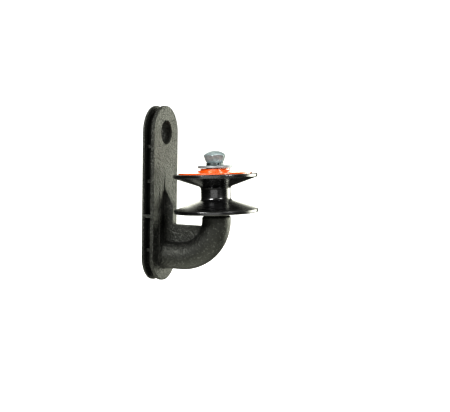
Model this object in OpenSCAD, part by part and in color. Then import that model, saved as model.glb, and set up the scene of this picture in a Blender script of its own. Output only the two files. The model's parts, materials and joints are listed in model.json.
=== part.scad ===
// Corner insulator for electric fence rope. A moulded bracket screws to a post and carries
// a free-running reel, which turns about a steel sleeve under a bolt on the bracket's upright.
// Origin: middle of the plate's back face. +X points away from the post, +Z up. Millimetres.

/* [Back plate] */
// Width of the plate, which is also the diameter of its round ends
plate_w = 27; // [24:0.5:32]
// Distance from the fixing hole down to the axis of the arm
hole_pitch = 62.4; // [56:0.2:72]
// Diameter of the fixing hole
hole_d = 11.5; // [6:0.5:12]
// Thickness of the front flange of the plate
front_flange_t = 1.9; // [1.6:0.1:2.6]
// Thickness of the back flange of the plate
back_flange_t = 1.2; // [1:0.1:2]
// Width of the groove that runs all round the plate's edge
side_groove_w = 3.4; // [2.4:0.1:4]
// Depth of that groove
side_groove_depth = 4.5; // [2:0.25:5]
// Thickness of the small ribs across the groove
groove_rib_t = 1.6; // [1:0.1:2.4]
// Distance from one groove rib to the next
groove_rib_pitch = 17.4; // [12:0.2:20]
// Radius on the plate's front edges
front_edge_r = 0.5; // [0.4:0.1:1.2]

/* [Web and rib] */
// Thickness of the web in the inner corner of the elbow
web_t = 3.2; // [2:0.1:5]
// Height of the web's top edge above the arm's axis
web_top = 15.7; // [12:0.1:16]
// Height of the front rib over the plate, where it is highest
rib_h = 5; // [3:0.1:5.2]
// Height above the arm's axis at which the rib reaches its full height
rib_full = 25.5; // [20:0.5:28]
// Height above the arm's axis at which the rib's steep slope starts
rib_knee = 33.5; // [29:0.5:33.5]
// Height of the rib over the plate where its steep slope starts
rib_knee_h = 0.5; // [0.3:0.1:1]
// Height above the arm's axis at which the rib runs out into the plate
rib_end = 42; // [34:0.5:46]
// Width of the shallow pad on each side of the rib, measured across both
pad_w = 14.2; // [10:0.2:18]
// Height of the pad over the plate at its foot
pad_h = 0.5; // [0.3:0.1:1]

/* [Arm] */
// Diameter of the arm
arm_d = 14.4; // [13:0.2:16]
// Distance from the post to the reel's axis
reach = 35; // [34:0.5:44]
// Radius of the elbow, to the arm's axis
elbow_r = 19; // [18.5:0.1:19]
// Lean of the upright towards the post, which the pull of the rope takes up
lean = 3; // [0:0.5:4]
// Length of the upright from the arm's axis to its top face
upright_h = 20.2; // [20.2:0.1:22]
// Radius of the fillet at the arm's root
root_fillet = 0.6; // [0.5:0.1:3]

/* [Reel] */
// Diameter of the reel's flanges
reel_d = 42; // [38:0.5:44]
// Height of the reel
reel_h = 19.4; // [18:0.2:24]
// Diameter of the reel's waist
waist_d = 14.8; // [14.4:0.1:18]
// Thickness of each flange at its rim
rim_t = 1.9; // [1.4:0.1:2.4]
// Slope of the flanges' inner sides
flank_angle = 19; // [10:0.5:22]
// Radius between flank and waist
waist_fillet = 1.8; // [0.6:0.1:2.4]
// Diameter of the coloured disc let into the upper flange
disc_d = 36.6; // [30:0.2:37]
// Thickness of the coloured disc at its rim
disc_t = 1.8; // [1.5:0.1:2]

/* [Hub and axle] */
// Diameter of the hub's lower step
hub_lower_d = 17.2; // [15:0.1:18]
// Diameter of the hub's upper step
hub_upper_d = 14.8; // [13:0.1:14.9]
// Height of the hub's lower step over the reel
hub_lower_h = 1.8; // [1.5:0.1:2.5]
// Height of the hub's upper step
hub_upper_h = 0.9; // [0.8:0.1:2]
// Outer diameter of the liner that runs through the reel
liner_d = 12.6; // [12:0.1:13]
// Outer diameter of the steel sleeve
sleeve_d = 9; // [8.6:0.1:9.6]
// Wall of the steel sleeve
sleeve_wall = 1.3; // [1:0.1:1.4]
// Radial clearance between sleeve and liner
running_gap = 0.05; // [0.02:0.01:0.1]
// Axial play at each end of the reel
end_play = 0.25; // [0.25:0.05:0.5]
// Diameter of the top washer
washer_d = 17; // [15:0.1:18]
// Thickness of the top washer
washer_t = 1.2; // [0.8:0.1:1.6]
// Outer diameter of the spring washer
spring_washer_d = 8.6; // [8:0.1:10]
// Thickness of the spring washer
spring_washer_t = 1.3; // [1:0.1:1.8]

/* [Bolt] */
// Thread diameter of the bolt
bolt_d = 6; // [5.8:0.1:6]
// Length of the bolt under its head
bolt_l = 35; // [34:0.5:36]
// Width across flats where the head is widest
head_flats = 9.9; // [9:0.1:11]
// Width across flats at the underside of the head
head_base_flats = 7.7; // [7.2:0.1:8.6]
// Height of the head's six faces at its corners
head_side_h = 3.65; // [3:0.05:5]
// Height of the dome over those corners
head_dome_h = 2.4; // [1.5:0.1:3]
// Outer diameter of the threaded insert
insert_d = 8; // [7.6:0.1:8.4]
// Length of the threaded insert
insert_l = 9.5; // [7:0.5:9.5]

/* [Hidden] */
$fn = 96;

arc_steps = 6;
overlap = 1;

// Plate
plate_r = plate_w / 2;
plate_t = back_flange_t + side_groove_w + front_flange_t;
core_half_w = plate_r - side_groove_depth;
hole_z = hole_pitch / 2;
arm_z = -hole_pitch / 2;
back_edge_r = 0.3;
hole_edge = 0.4;
groove_ribs = 4;
first_groove_rib = 2.2;
rib_recess = 2.6;
flush_rib = 1;
flush_rib_recess = 0.5;

// Arm and elbow
arm_r = arm_d / 2;
bend_x = reach - elbow_r;
upright_edge_r = 1;
web_fillet = 1;

// Reel, with heights measured along its axis from the height of the arm's axis
reel_r = reel_d / 2;
waist_r = waist_d / 2;
thrust_washer_t = 1.45;
thrust_washer_d = 13;
thrust_washer_bore = sleeve_d + 0.2;
reel_s = upright_h + thrust_washer_t + end_play;
rim_edge_r = 0.5;
flank_rise = (reel_r - rim_edge_r - waist_r) * tan(flank_angle);
disc_gap = 0.1;
disc_proud = 0.7;
disc_rise = 0.4;
recess_depth = disc_t - disc_proud;
liner_r = liner_d / 2;
sleeve_r = sleeve_d / 2;
hub_edge_r = 0.3;
hub_top = reel_h + hub_lower_h + hub_upper_h;

// Stack on the bolt
washer_s = reel_s + hub_top + end_play;
spring_washer_s = washer_s + washer_t;
head_s = spring_washer_s + spring_washer_t;
washer_edge = 0.15;
washer_bore = bolt_d + 0.4;
spring_bore = bolt_d + 0.2;
spring_split_w = 0.7;
spring_split_tilt = 28;
spring_split_turn = -42;
head_turn = 12;
head_bevel_inset = 0.17;
head_bevel_angle = 30;
head_slab_l = 3 * head_flats;
thread_gap = 0.05;
bolt_tip_bevel = 0.8;
insert_groove_depth = 0.4;
insert_groove_w = 1.2;
bore_below_insert = 1.2;

// Points along an arc, for outlines
function arc(x, y, r, a0, a1) =
  [for (i = [0:arc_steps]) let (a = a0 + (a1 - a0) * i / arc_steps) [x + r * cos(a), y + r * sin(a)]];

// Puts its children on the reel's axis, s above the height of the arm's axis
module on_axle(s) {
  translate([bend_x, 0, arm_z + elbow_r])
    rotate([0, -lean, 0])
      translate([elbow_r, 0, s - elbow_r])
        children();
}

// Ring between two radii with bevelled outer edges
module ring(inner_r, outer_r, h, bevel) {
  rotate_extrude()
    polygon([
      [inner_r, 0], [outer_r - bevel, 0], [outer_r, bevel],
      [outer_r, h - bevel], [outer_r - bevel, h], [inner_r, h]
    ]);
}

// Half outline of a plate layer: radius against thickness, with rounded outer edges
module layer_outline(r, t, low_edge, high_edge) {
  polygon(concat(
    [[0, 0]],
    low_edge > 0 ? arc(r - low_edge, low_edge, low_edge, -90, 0) : [[r, 0]],
    high_edge > 0 ? arc(r - high_edge, t - high_edge, high_edge, 0, 90) : [[r, t]],
    [[0, t]]
  ));
}

// Oblong plate layer with round ends, lying on the back plane and growing along +X
module oblong_layer(r, t, low_edge, high_edge) {
  rotate([0, 90, 0]) {
    for (end = [0, 180])
      rotate([0, 0, end])
        translate([hole_pitch / 2, 0, 0])
          rotate([0, 0, -90])
            rotate_extrude(angle = 180)
              layer_outline(r, t, low_edge, high_edge);
    for (side = [0, 1])
      mirror([0, side, 0])
        translate([-hole_pitch / 2, 0, 0])
          rotate([90, 0, 90])
            linear_extrude(height = hole_pitch)
              layer_outline(r, t, low_edge, high_edge);
  }
}

// Small ribs across both side grooves
module groove_rib_row() {
  for (i = [0:groove_ribs - 1])
    for (side = [-1, 1]) {
      reach_y = plate_r - (i == flush_rib ? flush_rib_recess : rib_recess);
      translate([
        back_flange_t,
        side > 0 ? core_half_w - overlap : -reach_y,
        arm_z + first_groove_rib + i * groove_rib_pitch
      ])
        cube([side_groove_w, reach_y - core_half_w + overlap, groove_rib_t]);
    }
}

// Outline of the front rib and the web, as x against height over the arm's axis
module web_outline() {
  rib_x = plate_t + rib_h;
  web_end = reach - arm_r + overlap;
  polygon(concat(
    [[plate_t - overlap, 0], [plate_t - overlap, rib_end], [plate_t, rib_end]],
    [[plate_t + rib_knee_h, rib_knee], [rib_x, rib_full]],
    arc(rib_x + web_fillet, web_top + web_fillet, web_fillet, 180, 270),
    [[web_end, web_top], [web_end, web_top / 2], [bend_x, 0]]
  ));
}

module web_and_rib() {
  translate([0, web_t / 2, arm_z])
    rotate([90, 0, 0])
      linear_extrude(height = web_t)
        web_outline();
  translate([0, pad_w / 2, arm_z])
    rotate([90, 0, 0])
      linear_extrude(height = pad_w)
        polygon([[plate_t - overlap, 0], [plate_t + pad_h, 0], [plate_t, rib_end], [plate_t - overlap, rib_end]]);
}

// Round arm: a straight bar, the elbow and a short upright
module arm() {
  translate([plate_t - overlap, 0, arm_z])
    rotate([0, 90, 0])
      cylinder(h = bend_x - plate_t + overlap, r = arm_r);
  translate([bend_x, 0, arm_z + elbow_r])
    rotate([90, 0, 0])
      rotate([0, 0, -90])
        rotate_extrude(angle = 90 + lean)
          translate([elbow_r, 0])
            circle(r = arm_r);
  on_axle(elbow_r)
    rotate_extrude()
      polygon(concat(
        [[0, -overlap], [arm_r - overlap, -overlap], [arm_r - overlap, 0], [arm_r, 0]],
        arc(arm_r - upright_edge_r, upright_h - elbow_r - upright_edge_r, upright_edge_r, 0, 90),
        [[0, upright_h - elbow_r]]
      ));
  translate([plate_t, 0, arm_z])
    rotate([0, 90, 0])
      rotate_extrude()
        polygon(concat(
          [[arm_r - overlap, -overlap], [arm_r + root_fillet, -overlap]],
          arc(arm_r + root_fillet, root_fillet, root_fillet, 270, 180),
          [[arm_r - overlap, root_fillet]]
        ));
}

// Countersunk lips and bore of the fixing hole
module fixing_hole() {
  translate([0, 0, hole_z])
    rotate([0, 90, 0])
      rotate_extrude()
        polygon([
          [0, -overlap], [hole_d / 2 + hole_edge + overlap, -overlap], [hole_d / 2, hole_edge],
          [hole_d / 2, plate_t - hole_edge], [hole_d / 2 + hole_edge + overlap, plate_t + overlap],
          [0, plate_t + overlap]
        ]);
}

module bracket() {
  color([0.09, 0.09, 0.09])
    difference() {
      union() {
        oblong_layer(plate_r, back_flange_t, back_edge_r, back_edge_r);
        translate([back_flange_t, 0, 0])
          oblong_layer(core_half_w, side_groove_w, 0, 0);
        translate([back_flange_t + side_groove_w, 0, 0])
          oblong_layer(plate_r, front_flange_t, back_edge_r, front_edge_r);
        groove_rib_row();
        web_and_rib();
        arm();
      }
      fixing_hole();
      on_axle(upright_h - insert_l)
        cylinder(h = insert_l + overlap, r = insert_d / 2);
      on_axle(upright_h - insert_l - bore_below_insert)
        cylinder(h = bore_below_insert + overlap, r = bolt_d / 2 + running_gap);
    }
}

// Brass insert moulded into the top of the upright
module threaded_insert() {
  color([0.72, 0.62, 0.36])
    on_axle(upright_h - insert_l)
      difference() {
        cylinder(h = insert_l, r = insert_d / 2);
        translate([0, 0, -overlap])
          cylinder(h = insert_l + 2 * overlap, r = bolt_d / 2);
        for (at = [insert_l / 3, insert_l * 2 / 3])
          translate([0, 0, at - insert_groove_w / 2])
            difference() {
              cylinder(h = insert_groove_w, r = insert_d);
              cylinder(h = insert_groove_w, r = insert_d / 2 - insert_groove_depth);
            }
      }
}

// Plain washer that keeps the reel off the upright
module thrust_washer() {
  color([0.12, 0.12, 0.12])
    on_axle(upright_h)
      ring(thrust_washer_bore / 2, thrust_washer_d / 2, thrust_washer_t, washer_edge);
}

// Steel tube that the bolt clamps down and the reel turns about
module axle_sleeve() {
  color([0.7, 0.7, 0.72])
    on_axle(upright_h)
      ring(sleeve_r - sleeve_wall, sleeve_r, washer_s - upright_h, washer_edge);
}

// Half outline of one flange, from its outer face to the middle of the waist
function flange_outline(bore_r) = concat(
  [[bore_r, 0]],
  arc(reel_r - rim_edge_r, rim_edge_r, rim_edge_r, -90, 0),
  arc(reel_r - rim_edge_r, rim_t - rim_edge_r, rim_edge_r, 0, 90 - flank_angle),
  arc(waist_r + waist_fillet, rim_t + flank_rise + waist_fillet * tan(45 - flank_angle / 2),
      waist_fillet, 270 - flank_angle, 180),
  [[waist_r, reel_h / 2], [bore_r, reel_h / 2]]
);

module reel() {
  color([0.04, 0.04, 0.04])
    on_axle(reel_s)
      difference() {
        union() {
          rotate_extrude() polygon(flange_outline(liner_r));
          translate([0, 0, reel_h])
            mirror([0, 0, 1])
              rotate_extrude() polygon(flange_outline(liner_r));
        }
        translate([0, 0, reel_h - recess_depth])
          cylinder(h = recess_depth + overlap, r = disc_d / 2 + disc_gap);
      }
}

// Coloured disc, stepped hub and liner in one moulding, pressed into the reel
module reel_hub_disc() {
  bore_r = sleeve_r + running_gap;
  color([0.93, 0.36, 0.1])
    on_axle(reel_s)
      rotate_extrude()
        polygon(concat(
          [[bore_r, 0], [liner_r, 0], [liner_r, reel_h - recess_depth], [disc_d / 2, reel_h - recess_depth]],
          arc(disc_d / 2 - hub_edge_r, reel_h + disc_proud - hub_edge_r, hub_edge_r, 0, 90),
          [[hub_lower_d / 2, reel_h + disc_proud + disc_rise]],
          arc(hub_lower_d / 2 - hub_edge_r, reel_h + hub_lower_h - hub_edge_r, hub_edge_r, 0, 90),
          [[hub_upper_d / 2, reel_h + hub_lower_h]],
          arc(hub_upper_d / 2 - hub_edge_r, hub_top - hub_edge_r, hub_edge_r, 0, 90),
          [[bore_r, hub_top]]
        ));
}

module top_washer() {
  color([0.75, 0.76, 0.78])
    on_axle(washer_s)
      ring(washer_bore / 2, washer_d / 2, washer_t, washer_edge);
}

// Split ring under the bolt head
module spring_washer() {
  color([0.35, 0.36, 0.37])
    on_axle(spring_washer_s)
      difference() {
        ring(spring_bore / 2, spring_washer_d / 2, spring_washer_t, washer_edge);
        rotate([0, 0, spring_split_turn])
          translate([spring_washer_d / 2, 0, spring_washer_t / 2])
            rotate([spring_split_tilt, 0, 0])
              cube([spring_washer_d / 2, spring_split_w, 4 * spring_washer_t], center = true);
      }
}

// Hexagonal head: three tapered slabs share six faces, a sphere domes the top
module bolt_head() {
  side_h = head_side_h + head_dome_h;
  corner_r = head_flats / 2 / cos(30);
  top_flats = head_base_flats + (head_flats - head_base_flats) * side_h / head_side_h;
  dome_r = (corner_r * corner_r + head_dome_h * head_dome_h) / (2 * head_dome_h);
  base_r = head_base_flats / 2 + head_bevel_inset;
  intersection() {
    tapered_slab(top_flats, side_h);
    rotate([0, 0, 60]) tapered_slab(top_flats, side_h);
    rotate([0, 0, 120]) tapered_slab(top_flats, side_h);
    translate([0, 0, side_h - dome_r]) sphere(r = dome_r);
    cylinder(h = side_h, r1 = base_r, r2 = base_r + side_h / tan(head_bevel_angle));
  }
}

// Slab whose two long sides lean outwards going up
module tapered_slab(top_w, h) {
  rotate([90, 0, 0])
    linear_extrude(height = head_slab_l, center = true)
      polygon([[-head_base_flats / 2, 0], [head_base_flats / 2, 0], [top_w / 2, h], [-top_w / 2, h]]);
}

module bolt() {
  shank_r = bolt_d / 2 - thread_gap;
  color([0.72, 0.74, 0.76])
    on_axle(head_s) {
      rotate([0, 0, head_turn])
        bolt_head();
      mirror([0, 0, 1])
        translate([0, 0, -overlap])
          rotate_extrude()
            polygon([
              [0, 0], [shank_r, 0], [shank_r, bolt_l + overlap - bolt_tip_bevel],
              [shank_r - bolt_tip_bevel, bolt_l + overlap], [0, bolt_l + overlap]
            ]);
    }
}

bracket();
threaded_insert();
thrust_washer();
axle_sleeve();
reel();
reel_hub_disc();
top_washer();
spring_washer();
bolt();
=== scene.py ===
"""Looks of the corner insulator for fence rope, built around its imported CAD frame."""

import json
import math

import bmesh
import bpy
from mathutils import Matrix, Vector


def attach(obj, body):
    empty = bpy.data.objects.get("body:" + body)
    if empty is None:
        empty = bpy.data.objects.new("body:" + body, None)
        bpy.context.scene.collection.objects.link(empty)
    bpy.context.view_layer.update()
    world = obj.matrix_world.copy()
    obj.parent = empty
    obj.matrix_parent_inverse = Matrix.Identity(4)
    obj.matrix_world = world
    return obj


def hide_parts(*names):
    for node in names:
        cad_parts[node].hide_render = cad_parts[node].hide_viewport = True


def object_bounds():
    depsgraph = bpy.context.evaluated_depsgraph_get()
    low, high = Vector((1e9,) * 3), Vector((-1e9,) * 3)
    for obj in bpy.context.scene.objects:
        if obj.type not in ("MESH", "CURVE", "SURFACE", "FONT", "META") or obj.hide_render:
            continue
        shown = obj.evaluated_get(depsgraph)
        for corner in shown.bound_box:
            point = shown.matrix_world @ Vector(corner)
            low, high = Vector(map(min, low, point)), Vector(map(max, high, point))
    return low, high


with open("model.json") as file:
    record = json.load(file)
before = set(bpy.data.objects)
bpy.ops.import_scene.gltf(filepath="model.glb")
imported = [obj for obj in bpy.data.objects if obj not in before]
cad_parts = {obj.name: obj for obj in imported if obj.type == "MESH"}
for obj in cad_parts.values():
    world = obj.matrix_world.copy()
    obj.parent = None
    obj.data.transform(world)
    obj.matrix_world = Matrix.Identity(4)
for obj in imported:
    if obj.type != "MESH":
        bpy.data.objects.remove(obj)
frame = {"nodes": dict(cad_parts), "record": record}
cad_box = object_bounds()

MM = 0.001
scene = bpy.context.scene
nodes = frame["nodes"]

# Camera: place in the frame (mm), turns (degrees), lens and sensor width (mm)
CAMERA_PLACE = (186.4, -359.2, 27.9)
CAMERA_YAW = 22.25
CAMERA_PITCH = -4.81
CAMERA_ROLL = 1.16
CAMERA_LENS = 62.6
CAMERA_SENSOR = 36

# The reel's axis, taken from the record's joint
joint = frame["record"]["behaviour"]["joints"][0]
AXIS_POINT = Vector(joint["pos_m"])
AXIS = Vector(joint["axis"]).normalized()
LEAN = math.atan2(-AXIS.x, AXIS.z)
AXLE_FRAME = Matrix.Translation(AXIS_POINT) @ Matrix.Rotation(-LEAN, 4, "Y")


def along_axis(node_name):
    """Lowest and highest place of a node's mesh along the reel's axis, from AXIS_POINT."""
    heights = [(v.co - AXIS_POINT).dot(AXIS) for v in nodes[node_name].data.vertices]
    return min(heights), max(heights)


# ---------------------------------------------------------------- shader nodes
# One minus the cosine of the turn at which an edge mask starts and is full
EDGE_TURN = (0.01, 0.12)
# Openness (0 closed, 1 open) at which a crevice mask is full and has faded out
CREVICE_OPENNESS = (0.15, 0.75)
MASK_SAMPLES = 6


class Shader:
    """A material's node tree, with short calls to add nodes and link them."""

    def __init__(self, name):
        self.material = bpy.data.materials.new(name)
        self.material.use_nodes = True
        self.tree = self.material.node_tree
        self.tree.nodes.clear()
        output = self.add("ShaderNodeOutputMaterial")
        self.surface = self.add("ShaderNodeBsdfPrincipled")
        self.link(self.surface.outputs["BSDF"], output.inputs["Surface"])
        self.place = self.add("ShaderNodeTexCoord").outputs["Object"]

    def add(self, kind, **values):
        node = self.tree.nodes.new(kind)
        for key, value in values.items():
            setattr(node, key, value)
        return node

    def link(self, out, into):
        self.tree.links.new(out, into)

    def feed(self, into, value):
        """Gives a socket a colour, a number or another node's output."""
        if isinstance(value, tuple):
            into.default_value = (*value, 1) if len(into.default_value) == 4 else value
        elif isinstance(value, (int, float)):
            into.default_value = value
        else:
            self.link(value, into)

    def set(self, **values):
        """Feeds the surface's own sockets by name."""
        for key, value in values.items():
            self.feed(self.surface.inputs[key.replace("_", " ")], value)

    def noise(self, size_mm, detail, roughness, distortion=0.0, place=None):
        """Cloudy pattern of the given size, from 0 to 1."""
        node = self.add("ShaderNodeTexNoise")
        node.inputs["Scale"].default_value = 1 / (size_mm * MM)
        node.inputs["Detail"].default_value = detail
        node.inputs["Roughness"].default_value = roughness
        node.inputs["Distortion"].default_value = distortion
        self.link(place or self.place, node.inputs["Vector"])
        return node.outputs["Fac"]

    def cells(self, size_mm):
        """Rounded cells of the given size, dark in their middles."""
        node = self.add("ShaderNodeTexVoronoi", feature="SMOOTH_F1")
        node.inputs["Scale"].default_value = 1 / (size_mm * MM)
        self.link(self.place, node.inputs["Vector"])
        return node.outputs["Distance"]

    def ramp(self, value, low, high, start=0.0, stop=1.0):
        """Smooth step from start to stop while the value goes from low to high."""
        node = self.add("ShaderNodeMapRange", interpolation_type="SMOOTHSTEP")
        for name, number in (("From Min", low), ("From Max", high), ("To Min", start), ("To Max", stop)):
            node.inputs[name].default_value = number
        self.link(value, node.inputs["Value"])
        return node.outputs["Result"]

    def maths(self, kind, a, b=0.0):
        node = self.add("ShaderNodeMath", operation=kind)
        self.feed(node.inputs[0], a)
        self.feed(node.inputs[1], b)
        return node.outputs["Value"]

    def blend(self, factor, a, b):
        node = self.add("ShaderNodeMix", data_type="RGBA")
        self.feed(node.inputs["Factor"], factor)
        self.feed(node.inputs[6], a)
        self.feed(node.inputs[7], b)
        return node.outputs[2]

    def rounded(self, radius_mm):
        """Normal of the surface with its sharp edges rounded off."""
        node = self.add("ShaderNodeBevel", samples=MASK_SAMPLES)
        node.inputs["Radius"].default_value = radius_mm * MM
        return node.outputs["Normal"]

    def edges(self, rounded_normal):
        """Mask that is 1 on sharp edges and 0 on flat ground."""
        flat = self.add("ShaderNodeNewGeometry").outputs["Normal"]
        node = self.add("ShaderNodeVectorMath", operation="DOT_PRODUCT")
        self.link(rounded_normal, node.inputs[0])
        self.link(flat, node.inputs[1])
        return self.ramp(self.maths("SUBTRACT", 1.0, node.outputs["Value"]), *EDGE_TURN)

    def crevices(self, reach_mm):
        """Mask that is 1 deep in grooves and inner corners and 0 in the open."""
        node = self.add("ShaderNodeAmbientOcclusion", samples=MASK_SAMPLES)
        node.inputs["Distance"].default_value = reach_mm * MM
        return self.ramp(node.outputs["AO"], *CREVICE_OPENNESS, 1.0, 0.0)

    def bump(self, height, depth_mm, strength, normal=None):
        """Normal tilted by a height pattern, on top of another normal if one is given."""
        node = self.add("ShaderNodeBump")
        node.inputs["Strength"].default_value = strength
        node.inputs["Distance"].default_value = depth_mm * MM
        self.link(height, node.inputs["Height"])
        if normal:
            self.link(normal, node.inputs["Normal"])
        return node.outputs["Normal"]

    def axle_rings(self, along, round_scale):
        """Coordinates in which marks run round the reel's axis: radius, height, turn."""
        turned = self.add("ShaderNodeMapping", vector_type="TEXTURE")
        turned.inputs["Location"].default_value = AXIS_POINT
        turned.inputs["Rotation"].default_value = (0, -LEAN, 0)
        self.link(self.place, turned.inputs["Vector"])
        parts = self.add("ShaderNodeSeparateXYZ")
        self.link(turned.outputs["Vector"], parts.inputs[0])
        x, y, z = parts.outputs
        squares = self.maths("ADD", self.maths("MULTIPLY", x, x), self.maths("MULTIPLY", y, y))
        turn = self.maths("ARCTAN2", y, x)
        joined = self.add("ShaderNodeCombineXYZ")
        self.link(self.maths("SQRT", squares), joined.inputs[0])
        self.link(self.maths("MULTIPLY", z, along), joined.inputs[1])
        self.link(self.maths("MULTIPLY", turn, round_scale), joined.inputs[2])
        return joined.outputs["Vector"]


# Distances from the bracket's back face (mm): the grain is deepest up to the first and
# normal from the second; the polish by handling starts at the third and is full at the last
PLATE_GRAIN_END, ARM_GRAIN_START = 6.8, 10
POLISH_START, POLISH_FULL = 14, 27
PLATE_GRAIN = 1.7
POLISH = 0.55

NYLON = (0.0055, 0.0057, 0.0053)
NYLON_DUST = (0.016, 0.0165, 0.0155)
NYLON_PATCH = (0.004, 0.0042, 0.0042)
NYLON_SPECK = (0.085, 0.087, 0.080)
NYLON_WORN = (0.07, 0.071, 0.067)
# Near black, painted in as shade deep in grooves and inner corners
NYLON_PAINTED_SHADE = (0.002, 0.002, 0.002)


def black_nylon(name, base, grain_mm, grain_depth):
    """Glass-filled nylon from a spark-eroded mould, handled and a little dusty, with painted shade deep in
    its grooves and corners.
    """
    s = Shader(name)
    smooth = s.rounded(0.45)
    edge = s.edges(smooth)
    patches = s.noise(9, 4, 0.6)
    dust = s.noise(2.2, 5, 0.65)
    coarse = s.noise(grain_mm, 2.5, 0.6)
    pits = s.cells(grain_mm * 0.8)
    fine = s.noise(grain_mm * 0.3, 2, 0.5)
    dusty = s.blend(s.ramp(dust, 0.5, 0.75, 0.0, 0.5), base, NYLON_DUST)
    dusty = s.blend(s.ramp(patches, 0.42, 0.68, 0.0, 0.45), dusty, NYLON_PATCH)
    speck = s.blend(s.ramp(coarse, 0.54, 0.70, 0.0, 0.75), dusty, NYLON_SPECK)
    wear = s.maths("MULTIPLY", edge, s.ramp(dust, 0.35, 0.6, 0.25, 0.8))
    worn = s.blend(wear, speck, NYLON_WORN)
    # Painted shade: the base colour goes near black deep in grooves and inner corners; the same mask also
    # roughens them
    crevice_shade = s.crevices(5)
    s.set(Base_Color=s.blend(crevice_shade, worn, NYLON_PAINTED_SHADE))

    parts = s.add("ShaderNodeSeparateXYZ")
    s.link(s.place, parts.inputs[0])
    from_back = parts.outputs[0]
    polish = s.ramp(from_back, POLISH_START * MM, POLISH_FULL * MM, 0.0, POLISH)
    rough = s.maths("ADD", s.ramp(patches, 0.3, 0.7, 0.42, 0.52), s.maths("MULTIPLY", crevice_shade, 0.4))
    rough = s.maths("ADD", rough, s.maths("MULTIPLY", polish, 0.06))
    s.set(Roughness=s.maths("ADD", rough, s.ramp(coarse, 0.35, 0.7, -0.05, 0.07)))
    s.set(Specular_IOR_Level=0.7, Specular_Tint=(0.98, 1.0, 0.92))

    grainy = s.ramp(from_back, PLATE_GRAIN_END * MM, ARM_GRAIN_START * MM, PLATE_GRAIN, 1.0)
    grainy = s.maths("MULTIPLY", grainy, s.maths("SUBTRACT", 1.0, polish))
    height = s.maths("MULTIPLY", s.maths("ADD", coarse, s.maths("MULTIPLY", pits, 0.6)), grainy)
    normal = s.bump(height, grain_depth, 1.0, smooth)
    s.set(Normal=s.bump(fine, grain_depth * 0.35, 0.5, normal))
    return s.material


def black_gloss(name):
    """Polished black moulding, with faint flow lines and rubbing round the groove."""
    s = Shader(name)
    smooth = s.rounded(0.3)
    edge = s.edges(smooth)
    rings = s.noise(0.5, 3, 0.6, 0.0, s.axle_rings(1.0, 0.0006))
    rubs = s.noise(1.6, 4, 0.6, 0.4, s.axle_rings(1.6, 0.0016))
    haze = s.noise(5, 4, 0.6)
    base = s.blend(s.ramp(haze, 0.45, 0.7, 0.0, 0.6), (0.006, 0.006, 0.0065), (0.013, 0.013, 0.013))
    base = s.blend(s.ramp(rubs, 0.58, 0.74, 0.0, 0.5), base, (0.03, 0.03, 0.03))
    # Painted highlight: the sharp edges are lighter than the black
    s.set(Base_Color=s.blend(s.maths("MULTIPLY", edge, 0.5), base, (0.05, 0.05, 0.05)))
    s.set(Roughness=s.maths("ADD", s.ramp(rubs, 0.4, 0.72, 0.24, 0.34), s.ramp(haze, 0.4, 0.7, 0.0, 0.06)))
    s.set(Coat_Weight=0.8, Coat_Roughness=0.2)
    normal = s.bump(rings, 0.004, 0.4, smooth)
    s.set(Normal=s.bump(haze, 0.02, 0.2, normal))
    return s.material


def orange_gloss(name):
    """Bright orange moulding with slight mottling in the pigment."""
    s = Shader(name)
    smooth = s.rounded(0.22)
    edge = s.edges(smooth)
    mottle = s.noise(3.5, 4, 0.6)
    dust = s.noise(0.8, 4, 0.6)
    rings = s.noise(0.7, 3, 0.6, 0.0, s.axle_rings(1.0, 0.0004))
    base = s.blend(s.ramp(mottle, 0.35, 0.7), (0.74, 0.13, 0.008), (0.66, 0.10, 0.006))
    base = s.blend(s.ramp(dust, 0.6, 0.8, 0.0, 0.3), base, (0.50, 0.16, 0.07))
    # Painted shade: darker orange in inner corners, such as under the washer
    base = s.blend(s.crevices(1.5), base, (0.40, 0.05, 0.005))
    # Painted highlight: the sharp edges turn pale peach
    s.set(Base_Color=s.blend(s.maths("MULTIPLY", edge, 0.35), base, (0.95, 0.33, 0.12)))
    s.set(Roughness=s.maths("ADD", s.ramp(mottle, 0.35, 0.7, 0.2, 0.3), s.ramp(dust, 0.5, 0.8, 0.0, 0.08)))
    s.set(Coat_Weight=1.0, Coat_Roughness=0.15)
    s.set(Subsurface_Weight=0.12, Subsurface_Radius=(0.004, 0.0015, 0.0005), Subsurface_Scale=0.3)
    normal = s.bump(rings, 0.012, 0.5, smooth)
    s.set(Normal=s.bump(dust, 0.012, 0.4, normal))
    return s.material


def metal(name, base, dull, roughness, grain_mm, depth, round_mm=0.18, metallic=1.0):
    """Plated or turned metal with dull patches, fine grain and edges painted brighter as a highlight."""
    s = Shader(name)
    smooth = s.rounded(round_mm)
    edge = s.edges(smooth)
    patches = s.noise(2.6, 5, 0.62, 0.3)
    grain = s.noise(grain_mm, 3, 0.6)
    lines = s.noise(0.22, 2, 0.5, 0.0, s.axle_rings(1.0, 0.0005))
    worn = s.blend(s.ramp(patches, 0.38, 0.62), base, dull)
    worn = s.blend(s.ramp(grain, 0.55, 0.8, 0.0, 0.35), worn, dull)
    # Painted highlight: the edges are a quarter brighter than the metal
    edge_highlight = tuple(min(1.0, c * 1.25) for c in base)
    s.set(Base_Color=s.blend(s.maths("MULTIPLY", edge, 0.6), worn, edge_highlight), Metallic=metallic)
    rough = s.ramp(patches, 0.35, 0.68, roughness - 0.06, roughness + 0.1)
    s.set(Roughness=s.maths("ADD", rough, s.ramp(grain, 0.4, 0.75, -0.03, 0.06)))
    normal = s.bump(grain, depth, 0.6, smooth)
    s.set(Normal=s.bump(lines, depth * 0.4, 0.4, normal))
    return s.material


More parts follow.
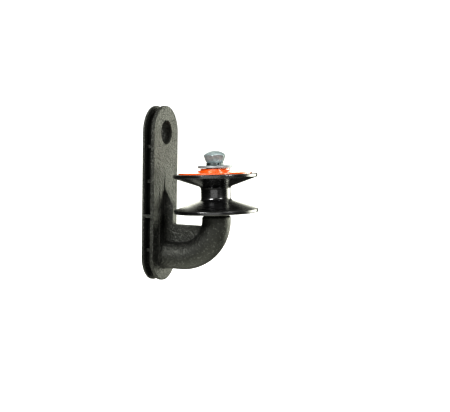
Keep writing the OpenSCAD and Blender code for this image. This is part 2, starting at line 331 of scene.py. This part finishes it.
def floor_paint():
    """Matt off-white paint that glows a little, so the floor reads as white."""
    s = Shader("floor_paint")
    broad = s.noise(160, 4, 0.5)
    fine = s.noise(1.5, 3, 0.5)
    s.set(Base_Color=s.blend(s.ramp(broad, 0.3, 0.7), (0.93, 0.93, 0.925), (0.90, 0.90, 0.895)))
    s.set(Roughness=s.ramp(fine, 0.3, 0.7, 0.6, 0.75))
    s.set(Normal=s.bump(fine, 0.05, 0.3))
    s.set(Emission_Color=(1.0, 1.0, 1.0), Emission_Strength=0.5)
    return s.material


materials = {
    "bracket": black_nylon("bracket_nylon", NYLON, 1.0, 0.42),
    "thrust_washer": black_nylon("thrust_acetal", (0.012, 0.012, 0.012), 0.4, 0.03),
    "reel": black_gloss("reel_gloss"),
    "reel_hub_disc": orange_gloss("hub_gloss"),
    "top_washer": metal("washer_zinc", (0.35, 0.39, 0.40), (0.24, 0.27, 0.28),
                        0.5, 0.35, 0.012, metallic=0.5),
    "spring_washer": metal("spring_dark", (0.16, 0.18, 0.18), (0.09, 0.10, 0.10), 0.42, 0.3, 0.02),
    "bolt": metal("bolt_zinc", (0.35, 0.41, 0.42), (0.24, 0.29, 0.30),
                  0.33, 0.6, 0.006, round_mm=0.12, metallic=0.4),
    "axle_sleeve": metal("sleeve_turned", (0.58, 0.58, 0.57), (0.44, 0.44, 0.43), 0.26, 0.3, 0.008),
    "threaded_insert": metal("insert_turned", (0.72, 0.50, 0.20), (0.50, 0.34, 0.15), 0.3, 0.3, 0.01),
}
for node_name, material in materials.items():
    for slot in nodes[node_name].material_slots:
        slot.material = material


# ---------------------------------------------------------------- bolt and split washer
def finish_mesh(bm, name, node_name, place):
    """Turns a bmesh built in the axle's frame into a piece that stands for a CAD node."""
    bmesh.ops.recalc_face_normals(bm, faces=bm.faces)
    bm.transform(AXLE_FRAME @ Matrix.Translation((0, 0, place)))
    mesh = bpy.data.meshes.new(name)
    bm.to_mesh(mesh)
    bm.free()
    mesh.polygons.foreach_set("use_smooth", [True] * len(mesh.polygons))
    mesh.materials.append(materials[node_name])
    piece = bpy.data.objects.new(name, mesh)
    scene.collection.objects.link(piece)
    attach(piece, "bracket_assembly")
    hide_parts(node_name)


def skin(bm, rings):
    """Skins a list of equal closed rings of points with quads and closes both ends."""
    loops = [[bm.verts.new(p) for p in ring] for ring in rings]
    count = len(loops[0])
    for low, high in zip(loops, loops[1:]):
        for i in range(count):
            j = (i + 1) % count
            bm.faces.new((low[i], low[j], high[j], high[i]))
    bm.faces.new(loops[0])
    bm.faces.new(loops[-1])


def soft_min(values, power):
    """Smooth minimum of positive values; a higher power gives sharper edges."""
    return sum(v ** -power for v in values) ** (-1 / power)


# The bolt's head (mm): half widths across flats, heights, and its rounding
HEAD_TURN = math.radians(12)
HEAD_BASE = 7.8 / 2
HEAD_TOP = 10.05 / 2
HEAD_SIDE = 3.65
HEAD_DOME = 2.4
HEAD_BEVEL = 0.17
HEAD_BEVEL_TILT = math.radians(30)
HEAD_MIDDLE = 2.2
HEAD_SHARPNESS = 110
# A plane counts only if the direction meets it more steeply than this
GRAZING = 0.02


def head_point(turn, tilt):
    """Point of the head's rounded surface seen from its middle in one direction (mm)."""
    way = Vector((math.cos(tilt) * math.cos(turn), math.cos(tilt) * math.sin(turn), math.sin(tilt)))
    slope = math.atan2(HEAD_TOP - HEAD_BASE, HEAD_SIDE)
    reach = []
    # Six sides, which lean outwards
    for k in range(6):
        a = HEAD_TURN + k * math.pi / 3
        out = Vector((math.cos(a) * math.cos(slope), math.sin(a) * math.cos(slope), -math.sin(slope)))
        if way.dot(out) > GRAZING:
            reach.append((HEAD_BASE * math.cos(slope) + HEAD_MIDDLE * math.sin(slope)) / way.dot(out))
    # Flat underside and the cone that bevels its corners
    if way.z < -GRAZING:
        reach.append(-HEAD_MIDDLE / way.z)
    across, down = math.cos(HEAD_BEVEL_TILT), math.sin(HEAD_BEVEL_TILT)
    bevel = Vector((way.x, way.y, 0)).length * across - way.z * down
    if bevel > GRAZING:
        reach.append(((HEAD_BASE + HEAD_BEVEL) * across + HEAD_MIDDLE * down) / bevel)
    # Dome on top
    corner = HEAD_TOP / math.cos(math.pi / 6)
    dome = (corner ** 2 + HEAD_DOME ** 2) / (2 * HEAD_DOME)
    low = HEAD_SIDE + HEAD_DOME - dome - HEAD_MIDDLE
    along = way.z * low
    reach.append(along + math.sqrt(along ** 2 - low ** 2 + dome ** 2))
    return (way * soft_min(reach, HEAD_SHARPNESS) + Vector((0, 0, HEAD_MIDDLE))) * MM


def build_bolt():
    """Head and shank of the bolt, hanging from the head's underside at height 0 (mm)."""
    bm = bmesh.new()
    around, tiers = 144, 72
    rings = []
    for t in range(1, tiers):
        tilt = -math.pi / 2 + math.pi * t / tiers
        rings.append([head_point(2 * math.pi * i / around, tilt) for i in range(around)])
    skin(bm, rings)
    # Shank with a plain neck and a rolled thread, as one wound surface that starts in the head
    neck, length, pitch, runout, sunk = 12.0, 35.0, 1.0, 1.5, 0.4
    root_r, top_r, tip_bevel = 2.42, 2.94, 0.9
    flank, root_flat = 2.6, 0.15
    around, step = 36, 0.125
    rings = []
    for level in range(int(length / step) + 1):
        depth = level * step
        z = sunk - depth * (length + sunk) / length
        fade = min(1.0, max(0.0, (depth - neck) / runout))
        limit = top_r if depth < length - tip_bevel else top_r - (depth - length + tip_bevel)
        ring = []
        for i in range(around):
            phase = (depth / pitch + i / around) % 1.0
            wave = min(1.0, max(0.0, flank * abs(phase - 0.5) - root_flat))
            thread = root_r + (top_r - root_r) * wave
            r = min(limit, top_r + (thread - top_r) * fade)
            a = 2 * math.pi * i / around
            ring.append(Vector((r * math.cos(a), r * math.sin(a), z)) * MM)
        rings.append(ring)
    skin(bm, rings)
    head_top = along_axis("bolt")[1]
    finish_mesh(bm, "hex_bolt", "bolt", head_top - (HEAD_SIDE + HEAD_DOME) * MM)


def build_split_washer():
    """Split ring of square wire with rounded corners and slanted ends."""
    low, high = along_axis("spring_washer")
    play = 0.01
    inner, outer, height, corner = 3.1, 4.27, (high - low) / MM - 2 * play, 0.16
    mid_r, mid_z = (inner + outer) / 2, height / 2
    # Place of the split, half its width (radians), slant of its cut (mm) and taper of its ends
    split, gap, slant, taper_depth, taper_rate = math.radians(-42), 0.12, 0.45 * 0.9, 0.12, 60
    steps, around = 120, 6
    section = []
    for cx, cz, start in ((outer - corner, height - corner, 0), (inner + corner, height - corner, 90),
                          (inner + corner, corner, 180), (outer - corner, corner, 270)):
        for k in range(around):
            a = math.radians(start + 90 * k / (around - 1))
            section.append((cx + corner * math.cos(a), cz + corner * math.sin(a)))
    bm = bmesh.new()
    rings = []
    for i in range(steps + 1):
        along = i / steps
        sweep = split + gap + (2 * math.pi - 2 * gap) * along
        taper = 1 - taper_depth * max(0.0, 1 - min(along, 1 - along) * taper_rate)
        ring = []
        for r, z in section:
            a = sweep + slant * (z / height - 0.5) / inner
            rr, zz = mid_r + (r - mid_r) * taper, mid_z + (z - mid_z) * taper
            ring.append(Vector((rr * math.cos(a), rr * math.sin(a), zz + play)) * MM)
        rings.append(ring)
    skin(bm, rings)
    finish_mesh(bm, "split_washer", "spring_washer", low)


build_bolt()
build_split_washer()


# ---------------------------------------------------------------- stage, light, camera
FLOOR_HALF = 6.0
FLOOR_DROP = 0.06

# Bright parts of the studio: direction, cosines where each starts and is full, brightness
WORLD_LOBES = (
    ((0.60, 0.79, 0.02), 0.87, 0.985, 6.5),
    ((-0.50, 0.86, 0.11), 0.93, 0.985, 1.4),
    ((0.0, -0.25, -0.97), 0.45, 0.95, 1.6),
    ((0.0, 0.0, 1.0), 0.2, 0.9, 0.5),
)
WORLD_BASE = 0.03
WORLD_TINT = (0.99, 1, 0.89, 1)
WORLD_SEEN = (1, 1, 1, 1)

# Soft boxes: name, place, target (m), width, height (m), power (W)
SOFT_BOXES = (
    ("key", (0.83, -0.46, 0.31), (0.03, 0, 0), 0.25, 0.2, 4.5),
    ("left", (-0.23, -0.83, 0.45), (0.03, 0, 0), 0.3, 0.2, 7.5),
    ("strip", (0.2, -0.98, -0.02), (0.03, 0, 0), 1.0, 0.18, 1.3),
    ("top", (0.25, 0.15, 0.9), (0.02, 0, 0), 0.7, 0.7, 1.5),
)


def make_floor():
    """Pale floor a little below the object. It throws no light back and blocks none."""
    mesh = bpy.data.meshes.new("floor")
    z = cad_box[0][2] - FLOOR_DROP
    corners = [(x * FLOOR_HALF, y * FLOOR_HALF, z) for x, y in ((-1, -1), (1, -1), (1, 1), (-1, 1))]
    mesh.from_pydata(corners, [], [(0, 1, 2, 3)])
    mesh.materials.append(floor_paint())
    floor = bpy.data.objects.new("floor", mesh)
    scene.collection.objects.link(floor)
    floor.visible_diffuse = False
    floor.visible_glossy = False
    floor.visible_shadow = False


def make_world():
    """White studio: brightest behind the object to the right, dim behind the camera."""
    world = bpy.data.worlds.new("studio")
    world.use_nodes = True
    tree = world.node_tree
    background = tree.nodes["Background"]
    direction = tree.nodes.new("ShaderNodeTexCoord").outputs["Generated"]
    total = None
    for way, low, high, amount in WORLD_LOBES:
        dot = tree.nodes.new("ShaderNodeVectorMath")
        dot.operation = "DOT_PRODUCT"
        tree.links.new(direction, dot.inputs[0])
        dot.inputs[1].default_value = Vector(way).normalized()
        lobe = tree.nodes.new("ShaderNodeMapRange")
        lobe.interpolation_type = "SMOOTHSTEP"
        lobe.inputs["From Min"].default_value = low
        lobe.inputs["From Max"].default_value = high
        lobe.inputs["To Max"].default_value = amount
        tree.links.new(dot.outputs["Value"], lobe.inputs["Value"])
        add = tree.nodes.new("ShaderNodeMath")
        add.inputs[0].default_value = WORLD_BASE
        if total:
            tree.links.new(total, add.inputs[0])
        tree.links.new(lobe.outputs["Result"], add.inputs[1])
        total = add.outputs["Value"]
    # The camera sees plain white, and only the light that falls on the object is shaped
    sight = tree.nodes.new("ShaderNodeLightPath").outputs["Is Camera Ray"]
    pick = tree.nodes.new("ShaderNodeMix")
    tree.links.new(sight, pick.inputs["Factor"])
    tree.links.new(total, pick.inputs[2])
    pick.inputs[3].default_value = 1.0
    tree.links.new(pick.outputs[0], background.inputs["Strength"])
    tint = tree.nodes.new("ShaderNodeMix")
    tint.data_type = "RGBA"
    tree.links.new(sight, tint.inputs["Factor"])
    tint.inputs[6].default_value = WORLD_TINT
    tint.inputs[7].default_value = WORLD_SEEN
    tree.links.new(tint.outputs[2], background.inputs["Color"])
    scene.world = world


def soft_box(name, place, target, width, height, power):
    """Rectangular light, out of the camera's sight, turned towards its target."""
    data = bpy.data.lights.new(name, "AREA")
    data.shape = "RECTANGLE"
    data.size, data.size_y = width, height
    data.energy = power
    light = bpy.data.objects.new(name, data)
    light.location = place
    light.rotation_euler = (Vector(target) - Vector(place)).to_track_quat("-Z", "Y").to_euler()
    light.visible_camera = False
    scene.collection.objects.link(light)


def make_camera():
    data = bpy.data.cameras.new("camera")
    data.lens = CAMERA_LENS
    data.sensor_width = CAMERA_SENSOR
    data.clip_start = 0.01
    camera = bpy.data.objects.new("camera", data)
    scene.collection.objects.link(camera)
    turn = Matrix.Rotation(math.radians(CAMERA_YAW), 4, "Z")
    tilt = Matrix.Rotation(math.radians(90 + CAMERA_PITCH), 4, "X")
    roll = Matrix.Rotation(math.radians(CAMERA_ROLL), 4, "Z")
    camera.matrix_world = Matrix.Translation(Vector(CAMERA_PLACE) * MM) @ turn @ tilt @ roll
    scene.camera = camera


make_floor()
make_world()
make_camera()
for box in SOFT_BOXES:
    soft_box(*box)
scene.view_settings.view_transform = "Standard"
scene.view_settings.look = "High Contrast"
